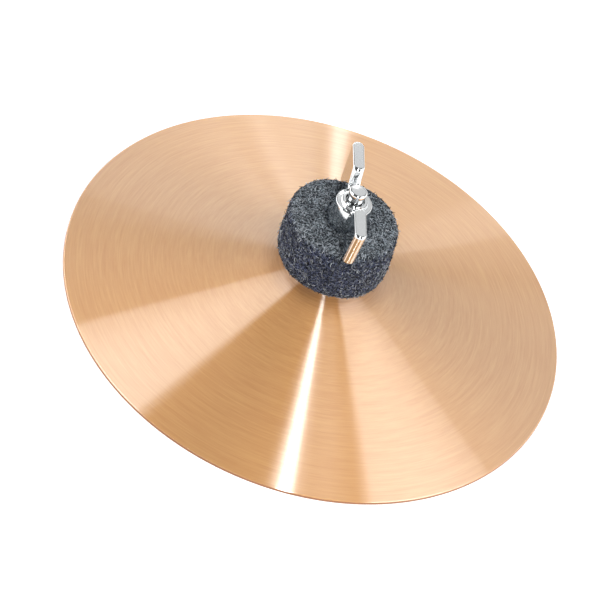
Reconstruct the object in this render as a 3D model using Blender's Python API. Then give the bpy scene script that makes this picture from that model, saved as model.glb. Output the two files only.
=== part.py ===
"""Cup chime with its mounting hardware, standing on the chime's rim.

The chime is clamped between two felts on a threaded stud. A wing nut holds it from above, and a
hexagonal coupling nut inside the hollow carries the stack and takes the rod of a stand from below.
Every piece is a separate solid. Heights are measured from the plane of the rim, and the stud's
axis is the Z axis. Touching pieces keep the seat gap.
"""

import math

import bmesh
import bpy
from mathutils import Vector

MM = 0.001

# Fits between the pieces
SEAT_GAP = 0.3 * MM
THREAD_CLEARANCE = 0.3 * MM
SLEEVE_CLEARANCE = 0.3 * MM
TILT_CLEARANCE = 0.6 * MM
WING_CLEARANCE = 0.3 * MM
FLOOR_CLEARANCE = 0.8 * MM

# Chime: a straight cone from the rim to the foot of a low cup with a flat crown
CHIME_DIAMETER = 165.1 * MM
CHIME_HEIGHT = 20.3 * MM
CROWN_DIAMETER = 23.2 * MM
CUP_SIDE_WIDTH = 2.8 * MM
CUP_RISE = 2.65 * MM
FOOT_RADIUS = 4.5 * MM
SHOULDER_RADIUS = 4.0 * MM
HOLE_DIAMETER = 12.7 * MM
CROWN_WALL = 2.4 * MM
CONE_WALL = 1.8 * MM
RIM_EDGE = 1.0 * MM
RIM_LAND = 1.3 * MM
RIM_BEVEL = 0.25 * MM
HOLE_BEVEL = 0.4 * MM

# Felts above and below the crown
UPPER_FELT_DIAMETER = 35.6 * MM
UPPER_FELT_HEIGHT = 18.7 * MM
UPPER_FELT_ROUNDING = 2.5 * MM
LOWER_FELT_DIAMETER = 20.0 * MM
LOWER_FELT_HEIGHT = 5.0 * MM
LOWER_FELT_ROUNDING = 2.0 * MM

# Washers
NUT_WASHER_DIAMETER = 12.0 * MM
NUT_WASHER_THICKNESS = 1.0 * MM
LOWER_WASHER_DIAMETER = 18.0 * MM
LOWER_WASHER_THICKNESS = 1.5 * MM
WASHER_BEVEL = 0.25 * MM

# Stud and the sleeve that keeps the bronze off it
STUD_DIAMETER = 6.0 * MM
STUD_STANDOUT = 5.1 * MM
STUD_END_ROUNDING = 0.7 * MM
SLEEVE_WALL = 1.0 * MM
SLEEVE_REACH = 6.5 * MM
SLEEVE_BEVEL = 0.25 * MM

# Coupling nut, with the lower part of its bore left free for the rod of a stand
COUPLING_ACROSS_FLATS = 10.0 * MM
COUPLING_CHAMFER = 0.5 * MM
COUPLING_CHAMFER_ANGLE = math.radians(30.0)
COUPLING_COUNTERSINK = 0.3 * MM
SOCKET_DEPTH = 4.7 * MM

# Wing nut: a round boss with a small hub round the stud and two upright wings
BOSS_BASE_DIAMETER = 13.0 * MM
BOSS_TOP_DIAMETER = 11.4 * MM
BOSS_HEIGHT = 6.3 * MM
BOSS_BEVEL = 0.4 * MM
HUB_DIAMETER = 8.6 * MM
HUB_HEIGHT = 1.0 * MM
HUB_BEVEL = 0.5 * MM
WING_SPAN = 42.8 * MM
WING_GAP = 16.4 * MM
WING_THICKNESS = 3.4 * MM
WING_RISE = 6.0 * MM
WING_OUTER_LEAN = 2.1 * MM
WING_INNER_LEAN = 1.0 * MM
WING_ARCH = 2.0 * MM
WING_CREST_RADIUS = 1.1 * MM
WING_THROAT_RADIUS = 1.4 * MM
WING_TOE_RADIUS = 2.0 * MM
WING_EDGE_BEVEL = 0.45 * MM
WING_ROOT_DEPTH = 1.0 * MM
WING_BEARING = math.radians(-73.5)

# Fineness of the round shapes
CHIME_SEGMENTS = 112
FELT_SEGMENTS = 48
SMALL_SEGMENTS = 36
HEXAGON_SIDES = 6
ARC_TOLERANCE = 0.03 * MM
BEVEL_SEGMENTS = 2
SHARP_ANGLE = math.radians(35.0)
CUTTER_OVERRUN = 1.0 * MM
MERGE_DISTANCE = 0.000001

# Heights of the stack, from the crown down
CROWN_UNDERSIDE = CHIME_HEIGHT - CROWN_WALL
LOWER_FELT_TOP = CROWN_UNDERSIDE - SEAT_GAP
LOWER_FELT_BASE = LOWER_FELT_TOP - LOWER_FELT_HEIGHT
LOWER_WASHER_TOP = LOWER_FELT_BASE - SEAT_GAP
LOWER_WASHER_BASE = LOWER_WASHER_TOP - LOWER_WASHER_THICKNESS
COUPLING_TOP = LOWER_WASHER_BASE - SEAT_GAP
COUPLING_BASE = FLOOR_CLEARANCE
SLEEVE_BASE = LOWER_WASHER_TOP + SEAT_GAP
SLEEVE_TOP = CHIME_HEIGHT + SLEEVE_REACH

# Heights of the stack, from the crown up
UPPER_FELT_BASE = CHIME_HEIGHT + SEAT_GAP
UPPER_FELT_TOP = UPPER_FELT_BASE + UPPER_FELT_HEIGHT
NUT_WASHER_BASE = UPPER_FELT_TOP + SEAT_GAP
NUT_WASHER_TOP = NUT_WASHER_BASE + NUT_WASHER_THICKNESS
WING_NUT_BASE = NUT_WASHER_TOP + SEAT_GAP
BOSS_TOP = WING_NUT_BASE + BOSS_HEIGHT
STUD_TOP = BOSS_TOP + STUD_STANDOUT
STUD_BASE = COUPLING_BASE + SOCKET_DEPTH

# Radii that follow from the fits
THREAD_BORE_RADIUS = STUD_DIAMETER / 2 + THREAD_CLEARANCE
SLEEVE_BORE_RADIUS = STUD_DIAMETER / 2 + SLEEVE_CLEARANCE
SLEEVE_RADIUS = SLEEVE_BORE_RADIUS + SLEEVE_WALL
LOWER_FELT_BORE_RADIUS = SLEEVE_RADIUS + SLEEVE_CLEARANCE
UPPER_FELT_BORE_RADIUS = SLEEVE_RADIUS + TILT_CLEARANCE

# Colours
BRONZE = (0.745, 0.479, 0.278, 1.0)
FELT = (0.055, 0.062, 0.078, 1.0)
CHROMED = (0.78, 0.79, 0.80, 1.0)
STEEL = (0.52, 0.53, 0.54, 1.0)
NYLON = (0.72, 0.71, 0.67, 1.0)


def clear_scene():
    """Remove every object of the open file."""
    for item in list(bpy.data.objects):
        bpy.data.objects.remove(item, do_unlink=True)


def make_material(name, color, roughness, metallic):
    """A Principled material with one colour."""
    material = bpy.data.materials.new(name)
    material.use_nodes = True
    shader = material.node_tree.nodes["Principled BSDF"]
    shader.inputs["Base Color"].default_value = color
    shader.inputs["Roughness"].default_value = roughness
    shader.inputs["Metallic"].default_value = metallic
    return material


# Outlines


def corner_arc(before, corner, after, radius):
    """Points of the arc that rounds one corner, no larger than half its shorter side allows."""
    to_before = before - corner
    to_after = after - corner
    turn = math.pi - to_before.angle(to_after)
    if radius <= 0.0 or turn <= 0.0:
        return [corner]
    reach = min(radius * math.tan(turn / 2), min(to_before.length, to_after.length) / 2)
    radius = reach / math.tan(turn / 2)
    inward = (to_before.normalized() + to_after.normalized()).normalized()
    center = corner + inward * radius / math.cos(turn / 2)
    spoke = corner + to_before.normalized() * reach - center
    sense = math.copysign(1.0, to_before.cross(to_after))
    widest_step = 2 * math.acos(1.0 - min(1.0, ARC_TOLERANCE / radius))
    steps = max(1, math.ceil(turn / widest_step))
    arc = []
    for step in range(steps + 1):
        angle = -sense * turn * step / steps
        along = spoke.x * math.cos(angle) - spoke.y * math.sin(angle)
        up = spoke.x * math.sin(angle) + spoke.y * math.cos(angle)
        arc.append(center + Vector((along, up)))
    return arc


def rounded_outline(corners):
    """A closed outline from corners given as (across, up, rounding radius)."""
    points = []
    for index, (across, up, radius) in enumerate(corners):
        before = Vector(corners[index - 1][:2])
        after = Vector(corners[(index + 1) % len(corners)][:2])
        points.extend(corner_arc(before, Vector((across, up)), after, radius))
    return points


def point_below(before, corner, after, wall):
    """The point that lies one wall thickness below both lines which meet at a corner."""
    first = (corner - before).normalized()
    second = (after - corner).normalized()
    first_normal = Vector((-first.y, first.x))
    second_normal = Vector((-second.y, second.x))
    middle = (first_normal + second_normal).normalized()
    return corner + middle * wall / middle.dot(first_normal)


# Solids


def finish_mesh(name, mesh_data, location=(0.0, 0.0, 0.0), smooth=True):
    """Turn edited mesh data into an object, with its faces pointing out and round sides smooth."""
    bmesh.ops.remove_doubles(mesh_data, verts=mesh_data.verts, dist=MERGE_DISTANCE)
    bmesh.ops.recalc_face_normals(mesh_data, faces=mesh_data.faces)
    mesh = bpy.data.meshes.new(name)
    mesh_data.to_mesh(mesh)
    mesh_data.free()
    if smooth:
        mesh.shade_smooth()
        mesh.set_sharp_from_angle(angle=SHARP_ANGLE)
    piece = bpy.data.objects.new(name, mesh)
    piece.location = location
    bpy.context.scene.collection.objects.link(piece)
    return piece


def turned(name, outline, segments, location=(0.0, 0.0, 0.0)):
    """Spin a closed outline round the Z axis. A side of it that lies on the axis is left open."""
    mesh_data = bmesh.new()
    verts = [mesh_data.verts.new((point.x, 0.0, point.y)) for point in outline]
    edges = []
    for index, vert in enumerate(verts):
        following = verts[(index + 1) % len(verts)]
        if vert.co.x > 0.0 or following.co.x > 0.0:
            edges.append(mesh_data.edges.new((vert, following)))
    bmesh.ops.spin(
        mesh_data,
        geom=verts + edges,
        cent=(0.0, 0.0, 0.0),
        axis=(0.0, 0.0, 1.0),
        angle=math.tau,
        steps=segments,
        use_merge=True,
    )
    return finish_mesh(name, mesh_data, location)


def plate(name, outline, thickness, location=(0.0, 0.0, 0.0)):
    """Extrude an upright outline to a plate that is centred on the XZ plane."""
    mesh_data = bmesh.new()
    verts = [mesh_data.verts.new((point.x, -thickness / 2, point.y)) for point in outline]
    face = mesh_data.faces.new(verts)
    grown = bmesh.ops.extrude_face_region(mesh_data, geom=[face])
    moved = [item for item in grown["geom"] if isinstance(item, bmesh.types.BMVert)]
    bmesh.ops.translate(mesh_data, verts=moved, vec=(0.0, thickness, 0.0))
    return finish_mesh(name, mesh_data, location)


def ring(name, inner, outer, height, rounding, segments, location):
    """A turned ring that stands on its location, with its two outer corners rounded."""
    outline = rounded_outline([
        (inner, 0.0, 0.0),
        (outer, 0.0, rounding),
        (outer, height, rounding),
        (inner, height, 0.0),
    ])
    return turned(name, outline, segments, location)


def hide_tool(tool, parent):
    """Keep a shape that only cuts or joins out of the finished model."""
    tool.hide_render = True
    tool.display_type = "WIRE"
    tool.parent = parent


def combine(piece, tool, operation):
    """Join, cut or intersect a piece with a tool shape."""
    modifier = piece.modifiers.new(operation.lower(), "BOOLEAN")
    modifier.operation = operation
    modifier.object = tool
    modifier.solver = "EXACT"


# Pieces


def make_chime(pivot_height):
    """The bronze chime, with a wall that thins from the crown to the rim. Its origin is its pivot."""
    rim_radius = CHIME_DIAMETER / 2
    crown_radius = CROWN_DIAMETER / 2
    hole = Vector((HOLE_DIAMETER / 2, CHIME_HEIGHT))
    crown = Vector((crown_radius, CHIME_HEIGHT))
    foot = Vector((crown_radius + CUP_SIDE_WIDTH, CHIME_HEIGHT - CUP_RISE))
    rim = Vector((rim_radius, RIM_EDGE))
    crown_below = point_below(foot, crown, hole, CROWN_WALL)
    foot_below = point_below(rim, foot, crown, CONE_WALL)
    corners = [
        (rim_radius, 0.0, 0.0),
        (rim.x, rim.y, RIM_BEVEL),
        (foot.x, foot.y, FOOT_RADIUS),
        (crown.x, crown.y, SHOULDER_RADIUS),
        (hole.x, hole.y, HOLE_BEVEL),
        (hole.x, CROWN_UNDERSIDE, HOLE_BEVEL),
        (crown_below.x, crown_below.y, SHOULDER_RADIUS - CROWN_WALL),
        (foot_below.x, foot_below.y, FOOT_RADIUS + CONE_WALL),
        (rim_radius - RIM_LAND, 0.0, 0.0),
    ]
    outline = [point - Vector((0.0, pivot_height)) for point in rounded_outline(corners)]
    return turned("chime", outline, CHIME_SEGMENTS, (0.0, 0.0, pivot_height))


def make_upper_felt():
    """The thick felt between the crown and the wing nut."""
    seat = (0.0, 0.0, UPPER_FELT_BASE)
    radius = UPPER_FELT_DIAMETER / 2
    return ring("upper_felt", UPPER_FELT_BORE_RADIUS, radius, UPPER_FELT_HEIGHT, UPPER_FELT_ROUNDING,
                FELT_SEGMENTS, seat)


def make_lower_felt():
    """The thin felt that the crown sits on."""
    seat = (0.0, 0.0, LOWER_FELT_BASE)
    radius = LOWER_FELT_DIAMETER / 2
    return ring("lower_felt", LOWER_FELT_BORE_RADIUS, radius, LOWER_FELT_HEIGHT, LOWER_FELT_ROUNDING,
                FELT_SEGMENTS, seat)


def make_nut_washer():
    """The washer that rides under the wing nut's boss."""
    seat = (0.0, 0.0, NUT_WASHER_BASE)
    radius = NUT_WASHER_DIAMETER / 2
    return ring("nut_washer", THREAD_BORE_RADIUS, radius, NUT_WASHER_THICKNESS, WASHER_BEVEL,
                SMALL_SEGMENTS, seat)


def make_lower_washer():
    """The washer that carries the lower felt and the sleeve."""
    seat = (0.0, 0.0, LOWER_WASHER_BASE)
    radius = LOWER_WASHER_DIAMETER / 2
    return ring("lower_washer", THREAD_BORE_RADIUS, radius, LOWER_WASHER_THICKNESS, WASHER_BEVEL,
                SMALL_SEGMENTS, seat)


def make_sleeve():
    """The plastic tube that lines the hole of the chime and both felts."""
    seat = (0.0, 0.0, SLEEVE_BASE)
    height = SLEEVE_TOP - SLEEVE_BASE
    return ring("sleeve", SLEEVE_BORE_RADIUS, SLEEVE_RADIUS, height, SLEEVE_BEVEL, SMALL_SEGMENTS, seat)


def make_stud():
    """The stud, from inside the coupling nut to above the wing nut, at its thread's full width."""
    length = STUD_TOP - STUD_BASE
    radius = STUD_DIAMETER / 2
    outline = rounded_outline([
        (0.0, 0.0, 0.0),
        (radius, 0.0, STUD_END_ROUNDING),
        (radius, length, STUD_END_ROUNDING),
        (0.0, length, 0.0),
    ])
    return turned("stud", outline, SMALL_SEGMENTS, (0.0, 0.0, STUD_BASE))


def make_coupling_nut():
    """A hexagonal nut with chamfered ends and a bore right through, countersunk at both ends."""
    height = COUPLING_TOP - COUPLING_BASE
    seat = (0.0, 0.0, COUPLING_BASE)
    corner_radius = COUPLING_ACROSS_FLATS / 2 / math.cos(math.pi / HEXAGON_SIDES)
    mesh_data = bmesh.new()
    bmesh.ops.create_cone(
        mesh_data,
        cap_ends=True,
        segments=HEXAGON_SIDES,
        radius1=corner_radius,
        radius2=corner_radius,
        depth=height,
    )
    bmesh.ops.translate(mesh_data, verts=mesh_data.verts, vec=(0.0, 0.0, height / 2))
    nut = finish_mesh("coupling_nut", mesh_data, seat, smooth=False)

    face_radius = COUPLING_ACROSS_FLATS / 2 - COUPLING_CHAMFER
    barrel_radius = corner_radius + CUTTER_OVERRUN
    chamfer_depth = (barrel_radius - face_radius) * math.tan(COUPLING_CHAMFER_ANGLE)
    tool_end_radius = face_radius - CUTTER_OVERRUN / math.tan(COUPLING_CHAMFER_ANGLE)
    barrel = turned("coupling_chamfer_tool", [
        Vector((0.0, -CUTTER_OVERRUN)),
        Vector((tool_end_radius, -CUTTER_OVERRUN)),
        Vector((barrel_radius, chamfer_depth)),
        Vector((barrel_radius, height - chamfer_depth)),
        Vector((tool_end_radius, height + CUTTER_OVERRUN)),
        Vector((0.0, height + CUTTER_OVERRUN)),
    ], SMALL_SEGMENTS)
    bore = turned("coupling_bore_tool", bore_outline(height, COUPLING_COUNTERSINK), SMALL_SEGMENTS)
    hide_tool(barrel, nut)
    hide_tool(bore, nut)
    combine(nut, barrel, "INTERSECT")
    combine(nut, bore, "DIFFERENCE")
    return nut


def bore_outline(height, countersink):
    """A cutter for a threaded bore with a countersink at each end, longer than the piece it cuts."""
    mouth = THREAD_BORE_RADIUS + countersink
    wide = mouth + CUTTER_OVERRUN
    return [
        Vector((0.0, -CUTTER_OVERRUN)),
        Vector((wide, -CUTTER_OVERRUN)),
        Vector((THREAD_BORE_RADIUS, countersink)),
        Vector((THREAD_BORE_RADIUS, height - countersink)),
        Vector((wide, height + CUTTER_OVERRUN)),
        Vector((0.0, height + CUTTER_OVERRUN)),
    ]


def wing_corners():
    """Corners of both wings in one outline, above the wing nut's base, with a root inside the boss."""
    crest = BOSS_HEIGHT + WING_RISE
    bottom = UPPER_FELT_TOP + WING_CLEARANCE - WING_NUT_BASE
    outer = WING_SPAN / 2
    inner = WING_GAP / 2
    root_radius = BOSS_TOP_DIAMETER / 2 - WING_ROOT_DEPTH
    right = [
        (root_radius, bottom + WING_ARCH, 0.0),
        (outer - WING_OUTER_LEAN, bottom, WING_TOE_RADIUS),
        (outer, crest, WING_CREST_RADIUS),
        (inner, crest, WING_CREST_RADIUS),
        (inner - WING_INNER_LEAN, BOSS_HEIGHT, WING_THROAT_RADIUS),
        (root_radius, BOSS_HEIGHT - WING_ROOT_DEPTH, 0.0),
    ]
    left = [(-across, up, radius) for across, up, radius in reversed(right)]
    return right + left


def make_wing_nut():
    """The wing nut, one casting: a tapered boss with a hub, two bevelled wings and the bore."""
    boss_outline = rounded_outline([
        (0.0, 0.0, 0.0),
        (BOSS_BASE_DIAMETER / 2, 0.0, BOSS_BEVEL),
        (BOSS_TOP_DIAMETER / 2, BOSS_HEIGHT, BOSS_BEVEL),
        (HUB_DIAMETER / 2, BOSS_HEIGHT, BOSS_BEVEL),
        (HUB_DIAMETER / 2, BOSS_HEIGHT + HUB_HEIGHT, HUB_BEVEL),
        (0.0, BOSS_HEIGHT + HUB_HEIGHT, 0.0),
    ])
    nut = turned("wing_nut", boss_outline, SMALL_SEGMENTS, (0.0, 0.0, WING_NUT_BASE))
    nut.rotation_euler.z = WING_BEARING

    wings = plate("wing_tool", rounded_outline(wing_corners()), WING_THICKNESS)
    bevel = wings.modifiers.new("edge_bevel", "BEVEL")
    bevel.width = WING_EDGE_BEVEL
    bevel.segments = BEVEL_SEGMENTS
    bevel.limit_method = "ANGLE"
    bore = turned("wing_nut_bore_tool", [
        Vector((0.0, -CUTTER_OVERRUN)),
        Vector((THREAD_BORE_RADIUS, -CUTTER_OVERRUN)),
        Vector((THREAD_BORE_RADIUS, BOSS_HEIGHT + WING_RISE)),
        Vector((0.0, BOSS_HEIGHT + WING_RISE)),
    ], SMALL_SEGMENTS)
    hide_tool(wings, nut)
    hide_tool(bore, nut)
    combine(nut, wings, "UNION")
    combine(nut, bore, "DIFFERENCE")
    return nut


def make_pivot(name, height):
    """An empty on the stud's axis, which the pieces that move together hang from."""
    pivot = bpy.data.objects.new(name, None)
    pivot.location = (0.0, 0.0, height)
    pivot.empty_display_size = STUD_DIAMETER
    bpy.context.scene.collection.objects.link(pivot)
    return pivot


def hang(piece, pivot):
    """Parent a piece to a pivot without moving it."""
    piece.location = piece.location - pivot.location
    piece.parent = pivot


def build():
    """Make every piece, give it its material and hang the moving ones from their pivots."""
    clear_scene()
    bronze = make_material("b20_bronze", BRONZE, 0.30, 1.0)
    wool = make_material("wool_felt", FELT, 0.95, 0.0)
    thin_wool = make_material("wool_felt_thin", FELT, 0.95, 0.0)
    chrome = make_material("chromed_zinc", CHROMED, 0.08, 1.0)
    washer_steel = make_material("zinc_plated_washer_steel", STEEL, 0.30, 1.0)
    plate_steel = make_material("zinc_plated_plate_steel", STEEL, 0.30, 1.0)
    stud_steel = make_material("chromed_stud_steel", CHROMED, 0.15, 1.0)
    nut_steel = make_material("zinc_plated_nut_steel", STEEL, 0.25, 1.0)
    nylon = make_material("natural_nylon", NYLON, 0.50, 0.0)

    finishes = [
        (make_stud(), stud_steel),
        (make_coupling_nut(), nut_steel),
        (make_lower_washer(), plate_steel),
        (make_sleeve(), nylon),
    ]
    rocker = make_pivot("rocking_pivot", CROWN_UNDERSIDE)
    chime = make_chime(CROWN_UNDERSIDE)
    upper_felt = make_upper_felt()
    hang(chime, rocker)
    hang(upper_felt, rocker)
    finishes += [
        (make_lower_felt(), thin_wool),
        (chime, bronze),
        (upper_felt, wool),
        (make_nut_washer(), washer_steel),
        (make_wing_nut(), chrome),
    ]
    for piece, material in finishes:
        piece.data.materials.append(material)


build()
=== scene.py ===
import math
import random

import bmesh
import bpy
from mathutils import Matrix, Vector, noise


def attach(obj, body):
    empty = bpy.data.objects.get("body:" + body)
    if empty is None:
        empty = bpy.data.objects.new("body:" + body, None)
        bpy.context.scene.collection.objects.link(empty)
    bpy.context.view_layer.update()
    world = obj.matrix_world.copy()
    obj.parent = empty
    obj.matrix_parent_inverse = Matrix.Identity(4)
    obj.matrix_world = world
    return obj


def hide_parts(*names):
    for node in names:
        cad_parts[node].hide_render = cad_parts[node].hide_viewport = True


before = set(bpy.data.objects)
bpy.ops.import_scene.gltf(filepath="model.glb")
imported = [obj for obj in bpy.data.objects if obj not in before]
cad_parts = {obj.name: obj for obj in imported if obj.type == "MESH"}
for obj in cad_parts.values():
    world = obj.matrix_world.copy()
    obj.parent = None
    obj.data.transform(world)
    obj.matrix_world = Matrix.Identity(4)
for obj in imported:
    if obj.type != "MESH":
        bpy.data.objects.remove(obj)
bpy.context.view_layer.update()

# Camera: a long lens about one metre away, 45 degrees above the chime. The camera itself is turned
# by 22 degrees about its own axis, so the stud leans to the right of the picture.
MM = 0.001
SENSOR_WIDTH = 36.0
LENS = 186.2
CAMERA_DISTANCE = 1000.0 * MM
CAMERA_HEIGHT_ANGLE = math.radians(45.037)
CAMERA_TURN = math.radians(22.3)
AIM = Vector((-4.10, -2.01, 0.0)) * MM

scene = bpy.context.scene
scene.view_settings.view_transform = "Standard"
camera_data = bpy.data.cameras.new("long_lens")
camera_data.sensor_width = SENSOR_WIDTH
camera_data.lens = LENS
camera = bpy.data.objects.new("long_lens", camera_data)
to_camera = Vector((0.0, -math.cos(CAMERA_HEIGHT_ANGLE), math.sin(CAMERA_HEIGHT_ANGLE)))
tilt = Matrix.Rotation(math.pi / 2 - CAMERA_HEIGHT_ANGLE, 4, "X")
turn_on_axis = Matrix.Rotation(CAMERA_TURN, 4, "Z")
camera.matrix_world = Matrix.Translation(AIM + to_camera * CAMERA_DISTANCE) @ tilt @ turn_on_axis
scene.collection.objects.link(camera)
scene.camera = camera

# Cup chime: one disc of B20 bronze, cast, rolled, hammered and then turned on a lathe from the hole
# to the rim. The low cup in the middle is pressed, and the cone round it thins towards the rim.
RIM_RADIUS = 82.55 * MM
RIM_EDGE = 1.0 * MM
RIM_LAND = 1.3 * MM
CUP_FOOT = (14.4 * MM, 17.65 * MM)
CUP_RADIUS = 11.6 * MM
CROWN_TOP = 20.3 * MM
CROWN_UNDERSIDE = 17.9 * MM
HOLE_RADIUS = 6.35 * MM
INNER_CUP_RADIUS = 10.645 * MM
INNER_FOOT = (13.51 * MM, 16.014 * MM)
CHIME_STEPS = 288
ROUND_STEPS = 8
MERGE = 0.0005 * MM
SHARP_TURN = math.radians(35.0)


def draw_section(corners):
    """Draw half a section as a closed wire of (across, up, reach of rounding) corners."""
    wire = bmesh.new()
    verts = [wire.verts.new((across, 0.0, up)) for across, up, _ in corners]
    for first, second in zip(verts, verts[1:] + verts[:1]):
        if first.co.x > 0.0 or second.co.x > 0.0:
            wire.edges.new((first, second))
    for vert, (_, _, reach) in zip(verts, corners):
        if reach > 0.0:
            bmesh.ops.bevel(wire, geom=[vert], offset=reach, offset_type="OFFSET", affect="VERTICES",
                            segments=ROUND_STEPS, profile=0.5, material=-1)
    return wire


def turn_on_lathe(wire, steps):
    """Turn a section once round the stud's axis into a closed shape."""
    bmesh.ops.spin(wire, geom=wire.verts[:] + wire.edges[:], cent=(0.0, 0.0, 0.0),
                   axis=(0.0, 0.0, 1.0), angle=math.tau, steps=steps, use_merge=True)
    bmesh.ops.remove_doubles(wire, verts=wire.verts, dist=MERGE)
    bmesh.ops.recalc_face_normals(wire, faces=wire.faces)
    return wire


def keep_piece(shape, name, material, smooth=True):
    """Make an object of a finished shape, with its edges sharp where the faces turn hard."""
    mesh = bpy.data.meshes.new(name)
    shape.to_mesh(mesh)
    shape.free()
    if smooth:
        mesh.shade_smooth()
        mesh.set_sharp_from_angle(angle=SHARP_TURN)
    piece = bpy.data.objects.new(name, mesh)
    mesh.materials.append(material)
    scene.collection.objects.link(piece)
    return piece


def linear(code):
    """The linear colour of an sRGB hex code."""
    shares = [int(code[at:at + 2], 16) / 255 for at in (1, 3, 5)]
    return [s / 12.92 if s <= 0.04045 else ((s + 0.055) / 1.055) ** 2.4 for s in shares] + [1.0]


def start_material(name):
    """A new material and its Principled shader."""
    material = bpy.data.materials.new(name)
    material.use_nodes = True
    return material, material.node_tree.nodes["Principled BSDF"]


def add_node(material, kind, inputs, **settings):
    """Add a node with its settings. An input takes a value, or the output of another node."""
    node = material.node_tree.nodes.new("ShaderNode" + kind)
    for name, value in settings.items():
        setattr(node, name, value)
    for key, value in inputs.items():
        if isinstance(value, bpy.types.NodeSocket):
            material.node_tree.links.new(value, node.inputs[key])
        else:
            node.inputs[key].default_value = value
    return node


# Turned B20 bronze under a thin lacquer. The grooves throw each lamp's colour widely, and the smooth
# crests between them carry it as narrow pale bands that point at the hole. The real grooves are about
# 0.1 mm apart, too fine to show, so the marks are drawn some 0.6 mm apart, in arcs that come and go.
# The cut round the cup's foot is coarser, drawn as fine rings, and the bronze there turns darker towards
# the upper felt, which is painted shade; the sawn rim is brown.
MARKS_PER_MM = 1.6
MARKS_AROUND = 2.8
FOOT_RINGS_PER_MM = 1.7
bronze, shader = start_material("lathe_turned_b20_bronze")
place = add_node(bronze, "TexCoord", {}).outputs["Object"]
split = add_node(bronze, "SeparateXYZ", {0: place})
outward = add_node(bronze, "CombineXYZ", {0: split.outputs[0], 1: split.outputs[1]}).outputs[0]
radius = add_node(bronze, "VectorMath", {0: outward}, operation="LENGTH").outputs["Value"]
radius_mm = add_node(bronze, "Math", {0: radius, 1: 1 / MM}, operation="MULTIPLY").outputs[0]
around = add_node(bronze, "VectorMath", {0: outward}, operation="NORMALIZE").outputs[0]
across_rings = add_node(bronze, "CombineXYZ", {2: radius_mm}).outputs[0]
marks = add_node(bronze, "VectorMath", {0: around, 1: (MARKS_AROUND, MARKS_AROUND, 0.0), 2: across_rings},
                 operation="MULTIPLY_ADD").outputs[0]
rings = add_node(bronze, "TexNoise", {"Vector": marks, "Scale": MARKS_PER_MM, "Detail": 3.0,
                                      "Roughness": 0.7}).outputs[0]
tone = add_node(bronze, "MapRange", {0: rings, 1: 0.3, 2: 0.7, 3: 0.0, 4: 1.0}).outputs[0]
turned = add_node(bronze, "Mix", {0: tone, 6: linear("#F0B876"), 7: linear("#FAC983")},
                  data_type="RGBA").outputs[2]
# Painted shade: towards the upper felt's edge the colour darkens to orange-brown, broken by the rings of
# the coarser cut.
felt_shade_share = add_node(bronze, "MapRange", {0: radius_mm, 1: 17.0, 2: 22.0, 3: 0.42, 4: 0.0}).outputs[0]
groove = add_node(bronze, "TexNoise", {"W": radius_mm, "Scale": FOOT_RINGS_PER_MM, "Detail": 1.0},
                  noise_dimensions="1D").outputs[0]
groove_tone = add_node(bronze, "MapRange", {0: groove, 1: 0.42, 2: 0.58, 3: 1.0, 4: 0.7}).outputs[0]
painted_felt_shade = add_node(bronze, "Math", {0: felt_shade_share, 1: groove_tone}, operation="MULTIPLY").outputs[0]
turned = add_node(bronze, "Mix", {0: painted_felt_shade, 6: turned, 7: linear("#B8763A")}, data_type="RGBA").outputs[2]
crest = add_node(bronze, "Mix", {0: tone, 6: linear("#F8F3EE"), 7: linear("#FFFDFA")},
                 data_type="RGBA").outputs[2]
sawn = add_node(bronze, "MapRange", {0: radius_mm, 1: 82.46, 2: 82.53, 3: 0.0, 4: 1.0}).outputs[0]
color = add_node(bronze, "Mix", {0: sawn, 6: turned, 7: linear("#B08262")},
                 data_type="RGBA").outputs[2]
crest_share = add_node(bronze, "MapRange", {0: sawn, 1: 0.0, 2: 1.0, 3: 0.33, 4: 0.0}).outputs[0]
bump = add_node(bronze, "Bump", {"Height": rings, "Strength": 1.0, "Distance": 0.002 * MM}).outputs[0]
along_slope = add_node(bronze, "VectorTransform", {0: outward}, vector_type="VECTOR",
                       convert_from="OBJECT", convert_to="WORLD").outputs[0]
bronze.node_tree.links.new(color, shader.inputs["Base Color"])
bronze.node_tree.links.new(bump, shader.inputs["Normal"])
bronze.node_tree.links.new(along_slope, shader.inputs["Tangent"])
shader.inputs["Metallic"].default_value = 1.0
shader.inputs["Roughness"].default_value = 0.727
shader.inputs["Anisotropic"].default_value = 0.625
crests = add_node(bronze, "BsdfAnisotropic", {"Color": crest, "Roughness": 0.2, "Anisotropy": -0.839,
                                              "Normal": bump, "Tangent": along_slope},
                  distribution="GGX")
both = add_node(bronze, "MixShader", {0: crest_share, 1: shader.outputs[0], 2: crests.outputs[0]})
bronze.node_tree.links.new(both.outputs[0], bronze.node_tree.nodes["Material Output"].inputs[0])

chime_section = draw_section([
    (RIM_RADIUS, 0.0, 0.1 * MM),
    (RIM_RADIUS, RIM_EDGE, 0.35 * MM),
    (*CUP_FOOT, 1.19 * MM),
    (CUP_RADIUS, CROWN_TOP, 1.59 * MM),
    (HOLE_RADIUS, CROWN_TOP, 0.4 * MM),
    (HOLE_RADIUS, CROWN_UNDERSIDE, 0.4 * MM),
    (INNER_CUP_RADIUS, CROWN_UNDERSIDE, 0.64 * MM),
    (*INNER_FOOT, 1.67 * MM),
    (RIM_RADIUS - RIM_LAND, 0.0, 0.1 * MM),
])
chime = keep_piece(turn_on_lathe(chime_section, CHIME_STEPS), "bronze_chime", bronze)
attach(chime, "chime")
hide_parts("chime")

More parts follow.
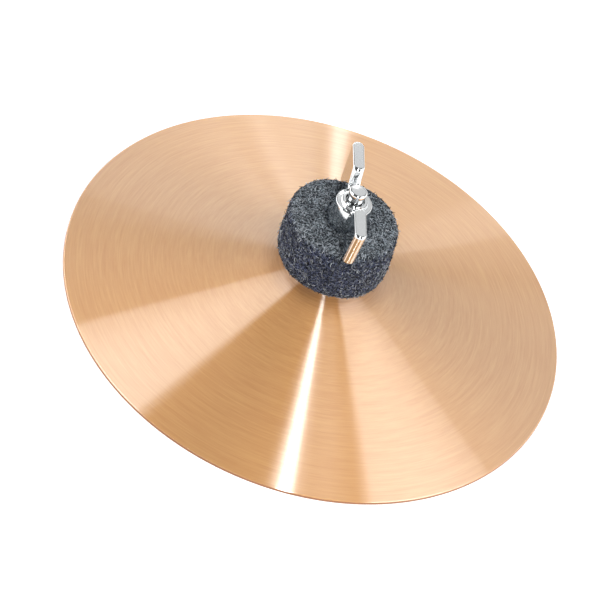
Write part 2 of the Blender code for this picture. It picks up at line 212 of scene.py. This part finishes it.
# Felts: discs punched from a thick sheet of dark grey wool felt, with a hole for the sleeve. The
# upper one is pressed by the wing nut, so it leans a little and its edge is uneven.
FELT_STEPS = 96
FELT_VOXEL = 0.34 * MM
BULGE_SIZE = 11.0 * MM
BULGE_DEPTH = 0.55 * MM
CLUMP_SIZE = 3.2 * MM
CLUMP_DEPTH = 0.22 * MM
TUFT_SIZE = 0.8 * MM
TUFT_DEPTH = 0.18 * MM
FACE_CALM = 0.45
WING_BEARING = math.radians(-73.5)
PRESSED_DEPTH = 0.9 * MM
PRESSED_EDGE = 0.5 * MM
PRESSED_LAYER = 2.5 * MM
BOSS_PRINT = 7.9 * MM
WING_PRINT_SIDE = 3.2 * MM
WING_PRINT_END = 19.6 * MM
HAIRS_ABOVE = 20.9 * MM
HAIR_COUNT = 7800
HAIR_POINTS = 4
HAIR_RADIUS = 0.085 * MM
HAIR_STRIDES = (0.18 * MM, 0.52 * MM)
LOOSE_SHARE = 0.12
WHITE_SHARE = 0.04
WHITE_TONE = 1.4
# Painted shade: the share of tone kept by hairs rooted on the felt's cut sides.
SIDE_HAIR_SHADE = 0.62


def remesh_evenly(piece, voxel):
    """Give a piece an even net of small faces, as a bmesh, and take the first mesh away."""
    net = piece.modifiers.new("even_net", "REMESH")
    net.mode = "VOXEL"
    net.voxel_size = voxel
    evaluated = piece.evaluated_get(bpy.context.evaluated_depsgraph_get())
    shape = bmesh.new()
    shape.from_mesh(evaluated.to_mesh())
    evaluated.to_mesh_clear()
    bpy.data.objects.remove(piece)
    return shape


def make_felt(name, material, bore, radius, base, top, rounding, lean=0.0, pressed=False):
    """A felt disc with rounded edges, bulges, clumps and tufts, which the wing nut may have pressed."""
    section = draw_section([
        (bore, base, 0.0),
        (radius, base, rounding),
        (radius, top, rounding),
        (bore, top, 0.0),
    ])
    shape = remesh_evenly(keep_piece(turn_on_lathe(section, FELT_STEPS), name, material), FELT_VOXEL)
    shape.normal_update()
    for vert in shape.verts:
        flat = abs(vert.normal.z)
        outer = 1.0 if vert.co.xy.length > (bore + radius) / 2 else 0.0
        bulge = noise.noise(vert.co / BULGE_SIZE) * BULGE_DEPTH * (1.0 - flat) * outer
        clump = noise.noise(vert.co / CLUMP_SIZE) * CLUMP_DEPTH
        tuft = noise.noise(vert.co / TUFT_SIZE) * TUFT_DEPTH
        vert.co += vert.normal * (bulge + (clump + tuft) * (1.0 - FACE_CALM * flat))
        vert.co.x += lean * (vert.co.z - base) / (top - base)
        if pressed and vert.co.z > top - PRESSED_LAYER:
            along = abs(vert.co.x * math.cos(WING_BEARING) + vert.co.y * math.sin(WING_BEARING))
            aside = abs(vert.co.y * math.cos(WING_BEARING) - vert.co.x * math.sin(WING_BEARING))
            under_boss = (BOSS_PRINT - vert.co.xy.length) / PRESSED_EDGE
            under_wing = min(WING_PRINT_SIDE - aside, WING_PRINT_END - along) / PRESSED_EDGE
            share = min(max(under_boss, under_wing, 0.0), 1.0)
            vert.co.z -= PRESSED_DEPTH * share * (vert.co.z - (top - PRESSED_LAYER)) / PRESSED_LAYER
    return keep_piece(shape, name, material)


def lay_hairs(name, felt, material, low, bore):
    """Loose hairs over a felt: short bent strands that lie nearly flat, as one mesh of thin tubes."""
    chance = random.Random(7)
    ground = [vert for vert in felt.data.vertices
              if vert.co.z > low and vert.co.xy.length > bore + 0.6 * MM]
    strands = bpy.data.curves.new(name, "CURVE")
    strands.dimensions = "3D"
    strands.bevel_depth = HAIR_RADIUS
    strands.bevel_resolution = 0
    roots = chance.choices(ground, k=HAIR_COUNT)
    for root in roots:
        heading = Vector([chance.gauss(0.0, 1.0) for _ in range(3)])
        heading = (heading - root.normal * heading.dot(root.normal)).normalized()
        stride = chance.uniform(*HAIR_STRIDES)
        loose = chance.random() < LOOSE_SHARE
        spot = root.co + root.normal * 0.02 * MM
        strand = strands.splines.new("POLY")
        strand.points.add(HAIR_POINTS - 1)
        for at, point in enumerate(strand.points):
            point.co = spot.to_4d()
            point.radius = 1.0 if at < HAIR_POINTS - 1 else 0.4
            rise = chance.uniform(0.1, 0.7) if loose else chance.uniform(-0.12, 0.16)
            turn = Matrix.Rotation(chance.gauss(0.0, 0.45), 3, root.normal)
            heading = turn @ heading
            spot = spot + (heading + root.normal * rise) * stride
    tubes = bpy.data.objects.new(name + "_strands", strands)
    scene.collection.objects.link(tubes)
    mesh = bpy.data.meshes.new_from_object(tubes.evaluated_get(bpy.context.evaluated_depsgraph_get()))
    bpy.data.objects.remove(tubes)
    mesh.name = name
    mesh.materials.clear()
    mesh.materials.append(material)
    share = len(mesh.vertices) // HAIR_COUNT
    # Each hair gets a random tone; hairs rooted on the cut sides are made darker, as painted shade.
    tones = [(chance.betavariate(0.38, 1.15) if chance.random() > WHITE_SHARE else WHITE_TONE)
             * (1.0 if root.normal.z > 0.5 else SIDE_HAIR_SHADE) for root in roots]
    tone = mesh.attributes.new("hair_tone", "FLOAT", "POINT")
    tone.data.foreach_set("value", [tones[min(at // share, HAIR_COUNT - 1)]
                                    for at in range(len(mesh.vertices))])
    hairs = bpy.data.objects.new(name, mesh)
    scene.collection.objects.link(hairs)
    return hairs


# Pressed wool felt: matted hairs from black to light grey. Where the punch cut them the hairs have a navy
# cast, and the cut sides are also painted darker than the top, as painted shade. It is dull, and slightly
# paler at a glancing angle from the loose hair ends. Real hairs are about 0.03 mm thick, too fine to show,
# so they are drawn some five times as thick.
def mix_wool(name):
    """A dull wool material and its shader."""
    material, shader = start_material(name)
    shader.inputs["Roughness"].default_value = 0.95
    shader.inputs["Specular IOR Level"].default_value = 0.10
    shader.inputs["Sheen Weight"].default_value = 0.04
    return material, shader


wool, shader = mix_wool("pressed_wool_felt")
place = add_node(wool, "TexCoord", {})
strand_tones = []
for scale, twist in ((520.0, 1.8), (860.0, 2.2)):
    field = add_node(wool, "TexNoise", {"Vector": place.outputs["Object"], "Scale": scale, "Detail": 1.0,
                                        "Roughness": 0.5, "Distortion": twist}).outputs[0]
    centred = add_node(wool, "Math", {0: field, 1: 0.5}, operation="SUBTRACT").outputs[0]
    ridge = add_node(wool, "Math", {0: centred}, operation="ABSOLUTE").outputs[0]
    strand_tones.append(add_node(wool, "MapRange", {0: ridge, 1: 0.0, 2: 0.055, 3: 1.0, 4: 0.0}).outputs[0])
strands = add_node(wool, "Math", {0: strand_tones[0], 1: strand_tones[1]}, operation="MAXIMUM").outputs[0]
grit = add_node(wool, "TexNoise", {"Vector": place.outputs["Object"], "Scale": 2200.0, "Detail": 1.0,
                                   "Distortion": 0.6}).outputs[0]
grit_tone = add_node(wool, "MapRange", {0: grit, 1: 0.49, 2: 0.58, 3: 0.0, 4: 1.0}).outputs[0]
lit = add_node(wool, "Mix", {0: 0.3, 2: grit_tone, 3: strands}, data_type="FLOAT").outputs[0]
patches = add_node(wool, "TexNoise", {"Vector": place.outputs["Object"], "Scale": 230.0,
                                      "Detail": 2.0}).outputs[0]
patch_tone = add_node(wool, "MapRange", {0: patches, 1: 0.35, 2: 0.65, 3: 0.65, 4: 1.1}).outputs[0]
pale = add_node(wool, "Math", {0: lit, 1: patch_tone}, operation="MULTIPLY", use_clamp=True).outputs[0]
facing = add_node(wool, "SeparateXYZ", {0: place.outputs["Normal"]}).outputs[2]
flatness = add_node(wool, "Math", {0: facing}, operation="ABSOLUTE").outputs[0]
# Painted shade: upright faces, the cut sides, take darker hair colours than the top, with a navy cast of
# their own.
cut_side_cast_and_shade = add_node(wool, "MapRange", {0: flatness, 1: 0.3, 2: 0.9, 3: 1.0, 4: 0.0}).outputs[0]
light_hair = add_node(wool, "Mix", {0: cut_side_cast_and_shade, 6: linear("#AEB9C2"), 7: linear("#6A7391")},
                      data_type="RGBA").outputs[2]
dark_hair = add_node(wool, "Mix", {0: cut_side_cast_and_shade, 6: linear("#07090D"), 7: linear("#040711")},
                     data_type="RGBA").outputs[2]
color = add_node(wool, "Mix", {0: pale, 6: dark_hair, 7: light_hair}, data_type="RGBA").outputs[2]
bump = add_node(wool, "Bump", {"Height": lit, "Strength": 1.0, "Distance": 0.22 * MM})
wool.node_tree.links.new(color, shader.inputs["Base Color"])
wool.node_tree.links.new(bump.outputs[0], shader.inputs["Normal"])

# Loose wool hair: the same wool, one tone for each hair, from near black to an odd white one.
hair_wool, shader = mix_wool("loose_wool_hair")
tone = add_node(hair_wool, "Attribute", {}, attribute_name="hair_tone").outputs["Fac"]
color = add_node(hair_wool, "Mix", {0: tone, 6: linear("#0B0E14"), 7: linear("#D3DAE2")},
                 data_type="RGBA").outputs[2]
hair_wool.node_tree.links.new(color, shader.inputs["Base Color"])

UPPER_FELT_BORE = 4.9 * MM
UPPER_FELT_BASE = 20.6 * MM
upper_felt = make_felt("upper_felt_disc", wool, UPPER_FELT_BORE, 17.9 * MM, UPPER_FELT_BASE,
                       39.3 * MM, 2.5 * MM, lean=-1.0 * MM, pressed=True)
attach(upper_felt, "upper_pad")
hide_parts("upper_felt")

upper_hairs = lay_hairs("upper_felt_hairs", upper_felt, hair_wool, HAIRS_ABOVE, UPPER_FELT_BORE)
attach(upper_hairs, "upper_pad")

lower_felt = make_felt("lower_felt_disc", wool, 4.6 * MM, 10.0 * MM, 12.6 * MM, 17.6 * MM, 1.6 * MM)
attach(lower_felt, "lower_pad")
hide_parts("lower_felt")

# Wing nut: one zinc casting, trimmed, polished and chrome plated. Two flat wings lean outward from
# a tapered boss. The polishing wheel has softened every corner, and some ends of the wings more.
NUT_BASE = 40.9 * MM
BOSS_TOP = 47.2 * MM
WING_THICKNESS = 3.7 * MM
EDGE_BEVEL = 0.4 * MM
END_ROUNDING = 1.4 * MM
END_CROWN = 1.1 * MM
END_FULLNESS = 2.6
WING_CUTS = 11
OUTER_ENDS = 17.0 * MM
INNER_ENDS = 9.5 * MM
THROAT_TOP = 47.8 * MM
THROAT_BLEND = 2.0 * MM
BORE_RADIUS = 3.15 * MM


def join_shapes(first, second, operation, material):
    """Join, cut or intersect two closed shapes into one bmesh."""
    body = keep_piece(first, "casting_body", material)
    tool = keep_piece(second, "casting_tool", material)
    step = body.modifiers.new("join", "BOOLEAN")
    step.operation = operation
    step.object = tool
    step.solver = "EXACT"
    evaluated = body.evaluated_get(bpy.context.evaluated_depsgraph_get())
    shape = bmesh.new()
    shape.from_mesh(evaluated.to_mesh())
    evaluated.to_mesh_clear()
    bpy.data.objects.remove(body)
    bpy.data.objects.remove(tool)
    return shape


# Chrome over polished zinc: a cold mirror, with the faint waviness of a casting under the plating.
chrome, shader = start_material("polished_chrome_plate")
place = add_node(chrome, "TexCoord", {}).outputs["Object"]
waves = add_node(chrome, "TexNoise", {"Vector": place, "Scale": 120.0, "Detail": 1.0}).outputs[0]
bump = add_node(chrome, "Bump", {"Height": waves, "Strength": 1.0, "Distance": 0.006 * MM})
chrome.node_tree.links.new(bump.outputs[0], shader.inputs["Normal"])
shader.inputs["Base Color"].default_value = linear("#E2E4E5")
shader.inputs["Metallic"].default_value = 1.0
shader.inputs["Roughness"].default_value = 0.08

boss = turn_on_lathe(draw_section([
    (0.0, NUT_BASE, 0.0),
    (6.3 * MM, NUT_BASE, 0.0),
    (6.4 * MM, 38.8 * MM, 0.2 * MM),
    (6.9 * MM, 38.8 * MM, 0.2 * MM),
    (5.8 * MM, BOSS_TOP, 0.35 * MM),
    (4.3 * MM, BOSS_TOP, 0.3 * MM),
    (4.3 * MM, 48.2 * MM, 0.45 * MM),
    (0.0, 48.2 * MM, 0.0),
]), 96)
# The outline of both wings: (across, up, reach of rounding) in millimetres.
wing_outline = [
    (4.7, 41.6, 0.0), (19.3, 38.9, 0.6), (21.4, 53.2, 1.1), (8.2, 53.2, 1.1), (7.2, 47.2, 1.3),
    (4.7, 46.2, 0.0), (-4.7, 46.2, 0.0), (-7.2, 47.2, 1.3), (-8.2, 53.2, 1.1), (-21.4, 53.2, 1.1),
    (-19.3, 38.9, 0.6), (-4.7, 41.6, 0.0),
]
wings = bmesh.new()
corners = [wings.verts.new((x * MM, -WING_THICKNESS / 2, z * MM)) for x, z, _ in wing_outline]
wings.faces.new(corners)
for vert, (_, _, reach) in zip(corners, wing_outline):
    if reach > 0.0:
        bmesh.ops.bevel(wings, geom=[vert], offset=reach * MM, offset_type="OFFSET", affect="VERTICES",
                        segments=ROUND_STEPS, profile=0.5, material=-1)
grown = bmesh.ops.extrude_face_region(wings, geom=wings.faces[:])["geom"]
moved = [item for item in grown if isinstance(item, bmesh.types.BMVert)]
bmesh.ops.translate(wings, verts=moved, vec=(0.0, WING_THICKNESS, 0.0))
crossing = [edge for edge in wings.edges if abs(edge.verts[0].co.y - edge.verts[1].co.y) > MERGE]
bmesh.ops.subdivide_edges(wings, edges=crossing, cuts=WING_CUTS, use_grid_fill=True)
for vert in wings.verts:
    edge_share = (2 * abs(vert.co.y) / WING_THICKNESS) ** END_FULLNESS
    side = math.copysign(1.0, vert.co.x)
    if abs(vert.co.x) > OUTER_ENDS:
        vert.co.x -= side * (END_CROWN if side > 0.0 else END_ROUNDING) * edge_share
    elif vert.co.z > THROAT_TOP and abs(vert.co.x) < INNER_ENDS:
        depth = END_ROUNDING if side > 0.0 else END_CROWN
        vert.co.x += side * depth * edge_share * min((vert.co.z - THROAT_TOP) / THROAT_BLEND, 1.0)
rims = [edge for edge in wings.edges
        if all(abs(vert.co.y) > WING_THICKNESS / 2 - MERGE for vert in edge.verts)]
bmesh.ops.bevel(wings, geom=rims, offset=EDGE_BEVEL, offset_type="OFFSET", affect="EDGES", segments=4,
                profile=0.5, material=-1, clamp_overlap=True)
bmesh.ops.recalc_face_normals(wings, faces=wings.faces)
bmesh.ops.rotate(wings, verts=wings.verts, cent=(0.0, 0.0, 0.0),
                 matrix=Matrix.Rotation(WING_BEARING, 3, "Z"))
casting = join_shapes(boss, wings, "UNION", chrome)
bore = bmesh.new()
bmesh.ops.create_cone(bore, cap_ends=True, segments=64, radius1=BORE_RADIUS, radius2=BORE_RADIUS,
                      depth=40.0 * MM)
bmesh.ops.translate(bore, verts=bore.verts, vec=(0.0, 0.0, 45.0 * MM))
wing_nut = keep_piece(join_shapes(casting, bore, "DIFFERENCE", chrome), "chromed_wing_nut", chrome)
even_shine = wing_nut.modifiers.new("flats_stay_flat", "WEIGHTED_NORMAL")
even_shine.keep_sharp = True
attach(wing_nut, "wing_nut")
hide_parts("wing_nut")

# Stud: an M6 steel rod with a rolled thread and a plain turned end, chrome plated like the nut. It
# is screwed down into the coupling nut and holds the whole stack together.
PITCH = 1.0 * MM
THREAD_STEPS = 40
THREAD_JOIN = 0.002 * MM


def roll_thread(root, crest, bottom, top):
    """A right-hand threaded rod that is cut square at both ends."""
    turns = math.ceil((top - bottom) / PITCH) + 2
    rod = bmesh.new()
    tooth = [(root, 0.0), (root, 0.15), (crest, 0.46), (crest, 0.69), (root, 1.0)]
    verts = [rod.verts.new((across, 0.0, bottom + (up - 1.0) * PITCH)) for across, up in tooth]
    edges = [rod.edges.new(pair) for pair in zip(verts, verts[1:])]
    bmesh.ops.spin(rod, geom=verts + edges, cent=(0.0, 0.0, 0.0), axis=(0.0, 0.0, 1.0),
                   dvec=(0.0, 0.0, PITCH / THREAD_STEPS), angle=math.tau * turns,
                   steps=THREAD_STEPS * turns)
    bmesh.ops.remove_doubles(rod, verts=rod.verts, dist=THREAD_JOIN)
    for height, side in ((bottom, -1.0), (top, 1.0)):
        bmesh.ops.bisect_plane(rod, geom=rod.verts[:] + rod.edges[:] + rod.faces[:], dist=0.0001 * MM,
                               plane_co=(0.0, 0.0, height), plane_no=(0.0, 0.0, side),
                               clear_outer=True)
    bmesh.ops.holes_fill(rod, edges=rod.edges, sides=0)
    bmesh.ops.recalc_face_normals(rod, faces=rod.faces)
    return rod


# Rolled steel under the same chrome plate: as cold and bright as the nut.
stud_steel = chrome.copy()
stud_steel.name = "chrome_plated_rolled_steel"
STUD_BASE = 5.5 * MM
STUD_TOP = 52.3 * MM
THREAD_END = STUD_TOP - 5.0 * MM
NECK_BASE = STUD_TOP - 5.6 * MM
NECK_RADIUS = 2.6 * MM
CAP_RADIUS = 2.9 * MM
thread = roll_thread(2.45 * MM, 3.0 * MM, STUD_BASE, THREAD_END)
tip = turn_on_lathe(draw_section([
    (0.0, NECK_BASE, 0.0),
    (NECK_RADIUS, NECK_BASE, 0.0),
    (NECK_RADIUS, STUD_TOP - 1.6 * MM, 0.0),
    (CAP_RADIUS, STUD_TOP - 1.5 * MM, 0.0),
    (CAP_RADIUS, STUD_TOP, 0.7 * MM),
    (0.0, STUD_TOP, 0.0),
]), 64)
stud = keep_piece(join_shapes(thread, tip, "UNION", stud_steel), "threaded_stud", stud_steel)
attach(stud, "mount")
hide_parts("stud")

# Small hidden parts: two stamped washers of zinc plated steel, the moulded nylon sleeve that keeps
# the bronze off the stud, and the hexagonal coupling nut that takes the rod of a stand.
# Bright zinc plate on stamped steel: greyer than chrome, and a little cloudy from the bath.
zinc, shader = start_material("bright_zinc_plated_steel")
place = add_node(zinc, "TexCoord", {}).outputs["Object"]
cloud = add_node(zinc, "TexNoise", {"Vector": place, "Scale": 400.0, "Detail": 4.0}).outputs[0]
dull = add_node(zinc, "MapRange", {0: cloud, 1: 0.3, 2: 0.7, 3: 0.24, 4: 0.40}).outputs[0]
color = add_node(zinc, "Mix", {0: cloud, 6: linear("#B4B8BB"), 7: linear("#D0D2D0")},
                 data_type="RGBA").outputs[2]
zinc.node_tree.links.new(color, shader.inputs["Base Color"])
zinc.node_tree.links.new(dull, shader.inputs["Roughness"])
shader.inputs["Metallic"].default_value = 1.0

# Moulded natural nylon: an off-white plastic with a soft, slightly uneven gloss.
nylon, shader = start_material("moulded_natural_nylon")
place = add_node(nylon, "TexCoord", {}).outputs["Object"]
haze = add_node(nylon, "TexNoise", {"Vector": place, "Scale": 600.0, "Detail": 2.0}).outputs[0]
dull = add_node(nylon, "MapRange", {0: haze, 1: 0.3, 2: 0.7, 3: 0.40, 4: 0.55}).outputs[0]
nylon.node_tree.links.new(dull, shader.inputs["Roughness"])
shader.inputs["Base Color"].default_value = linear("#DAD8D0")
shader.inputs["IOR"].default_value = 1.53

# Each ring: its name, material, body, CAD node and slot, then its bore radius, outer radius, base, top
# and rounding in millimetres.
rings_to_turn = [
    ("nut_washer_ring", zinc, "nut_seat", "nut_washer", "nut_washer_steel", 3.3, 6.0, 39.6, 40.6, 0.25),
    ("lower_washer_ring", zinc, "mount", "lower_washer", "lower_washer_steel", 3.3, 9.0, 10.8, 12.3, 0.3),
    ("sleeve_tube", nylon, "mount", "sleeve", "nylon", 3.3, 4.3, 12.6, 26.8, 0.3),
]
for name, material, body, node, slot, bore_radius, radius_out, base, top, rounding in rings_to_turn:
    ring = keep_piece(turn_on_lathe(draw_section([
        (bore_radius * MM, base * MM, rounding * MM / 2),
        (radius_out * MM, base * MM, rounding * MM),
        (radius_out * MM, top * MM, rounding * MM),
        (bore_radius * MM, top * MM, rounding * MM / 2),
    ]), 96), name, material)
    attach(ring, body)
    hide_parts(node)

COUPLING_BASE = 0.8 * MM
COUPLING_TOP = 10.5 * MM
COUPLING_ACROSS_FLATS = 10.0 * MM
CHAMFER_DEPTH = 1.155 * MM
FACE_RADIUS = 4.5 * MM
BARREL_RADIUS = 6.5 * MM
TAP_OVERRUN = 1.0 * MM
hexagon = bmesh.new()
corner_radius = COUPLING_ACROSS_FLATS / math.sqrt(3.0)
bmesh.ops.create_cone(hexagon, cap_ends=True, segments=6, radius1=corner_radius,
                      radius2=corner_radius, depth=COUPLING_TOP - COUPLING_BASE)
bmesh.ops.translate(hexagon, verts=hexagon.verts,
                    vec=(0.0, 0.0, (COUPLING_TOP + COUPLING_BASE) / 2))
barrel = turn_on_lathe(draw_section([
    (0.0, COUPLING_BASE, 0.0),
    (FACE_RADIUS, COUPLING_BASE, 0.0),
    (BARREL_RADIUS, COUPLING_BASE + CHAMFER_DEPTH, 0.0),
    (BARREL_RADIUS, COUPLING_TOP - CHAMFER_DEPTH, 0.0),
    (FACE_RADIUS, COUPLING_TOP, 0.0),
    (0.0, COUPLING_TOP, 0.0),
]), 96)
hexagon = join_shapes(hexagon, barrel, "INTERSECT", zinc)
tap = roll_thread(2.75 * MM, 3.3 * MM, COUPLING_BASE - TAP_OVERRUN, COUPLING_TOP + TAP_OVERRUN)
coupling = keep_piece(join_shapes(hexagon, tap, "DIFFERENCE", zinc), "coupling_nut_hexagon", zinc)
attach(coupling, "mount")
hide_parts("coupling_nut")

# Studio: a white floor and low white walls under a dark ceiling. Tall soft boxes hang left and right
# of the camera, a row of panels stands behind, and thin strips draw the bright streaks on the rings.
FLOOR_SIZE = 5.0
FLOOR_GLOW = 0.45
CEILING_LEVEL = 0.10
floor_shape = bmesh.new()
bmesh.ops.create_grid(floor_shape, x_segments=1, y_segments=1, size=FLOOR_SIZE / 2)
# Matt white paint. The camera and the mirrors also see a glow, so that it reads as pure white.
white, shader = start_material("painted_white_floor")
rays = add_node(white, "LightPath", {})
seen = add_node(white, "Math", {0: rays.outputs["Is Camera Ray"], 1: rays.outputs["Is Glossy Ray"]},
                operation="MAXIMUM").outputs[0]
grain = add_node(white, "TexNoise", {"Vector": add_node(white, "TexCoord", {}).outputs["Object"],
                                     "Scale": 40.0, "Detail": 3.0}).outputs[0]
dull = add_node(white, "MapRange", {0: grain, 1: 0.3, 2: 0.7, 3: 0.75, 4: 0.85}).outputs[0]
white.node_tree.links.new(dull, shader.inputs["Roughness"])
white.node_tree.links.new(seen, shader.inputs["Emission Strength"])
shader.inputs["Base Color"].default_value = linear("#E8E8E8")
shader.inputs["Specular IOR Level"].default_value = 0.0
shader.inputs["Emission Color"].default_value = (FLOOR_GLOW, FLOOR_GLOW, FLOOR_GLOW, 1.0)
floor = keep_piece(floor_shape, "studio_floor", white, smooth=False)

world = bpy.data.worlds.new("studio")
scene.world = world
world.use_nodes = True
direction = add_node(world, "TexCoord", {}).outputs["Generated"]
height = add_node(world, "SeparateXYZ", {0: direction}).outputs[2]
walls = add_node(world, "MapRange", {0: height, 1: 0.15, 2: 0.40, 3: 1.0, 4: CEILING_LEVEL},
                 interpolation_type="SMOOTHSTEP").outputs[0]
camera_ray = add_node(world, "LightPath", {}).outputs["Is Camera Ray"]
level = add_node(world, "Math", {0: walls, 1: camera_ray}, operation="MAXIMUM").outputs[0]
world.node_tree.links.new(level, world.node_tree.nodes["Background"].inputs["Strength"])
world.node_tree.nodes["Background"].inputs["Color"].default_value = (1.0, 1.0, 1.0, 1.0)

# Each lamp: its middle as seen from the chime, the way its long side runs, its half length and half
# width, all in parts of the distance, and the level at which its face glows.
LAMP_DISTANCE = 3.0
lamps = [
    ("left_front_box", (-0.616, -0.213, 0.514), (-0.306, -0.692, -0.654), 0.594, 0.204, 2.90),
    ("left_wide_box", (-0.966, 0.354, 0.278), (-0.370, -0.327, -0.869), 0.256, 0.449, 2.30),
    ("right_front_box", (0.679, -0.164, 0.491), (0.323, -0.668, -0.670), 0.577, 0.251, 2.90),
    ("right_wide_box", (0.739, 0.534, 0.326), (0.622, -0.488, -0.612), 0.484, 0.415, 0.64),
    ("right_front_fill", (0.181, 0.157, 0.932), (0.217, -0.969, 0.121), 0.277, 0.0575, 0.60),
    ("front_strip", (0.208, -0.587, 0.590), (0.094, -0.689, -0.719), 0.514, 0.0330, 15.5),
    ("overhead_strip", (0.091, 0.181, 0.958), (0.116, -0.978, 0.174), 0.206, 0.0288, 2.34),
    ("back_right_panel", (0.097, 0.947, 0.309), (0.285, 0.271, -0.920), 0.119, 0.125, 0.96),
    ("back_wide_panel", (-0.325, 0.877, 0.527), (0.370, 0.575, -0.730), 0.063, 0.395, 0.30),
    ("back_left_panel", (-0.078, 0.825, 0.538), (-0.189, 0.524, -0.830), 0.157, 0.034, 2.37),
    ("left_back_panel", (-0.251, 0.778, 0.590), (-0.461, 0.437, -0.772), 0.064, 0.142, 2.0),
    ("back_strip", (-0.037, 0.883, 0.391), (-0.059, 0.402, -0.914), 0.257, 0.0105, 2.89),
    ("back_soft_box", (0.0, 0.7071, 0.7071), (1.0, 0.0, 0.0), 0.200, 0.140, 0.68),
]
for name, middle, long_side, half_length, half_width, glow in lamps:
    lamp_data = bpy.data.lights.new(name, "AREA")
    lamp_data.shape = "RECTANGLE"
    lamp_data.size = 2 * half_length * LAMP_DISTANCE
    lamp_data.size_y = 2 * half_width * LAMP_DISTANCE
    lamp_data.energy = glow * math.pi * lamp_data.size * lamp_data.size_y
    across = Vector(long_side).normalized()
    outside = (Vector(middle) - across * across.dot(Vector(middle))).normalized()
    turned = Matrix((across, outside.cross(across), outside)).transposed().to_4x4()
    lamp = bpy.data.objects.new(name, lamp_data)
    lamp.matrix_world = Matrix.Translation(Vector(middle) * LAMP_DISTANCE) @ turned
    scene.collection.objects.link(lamp)
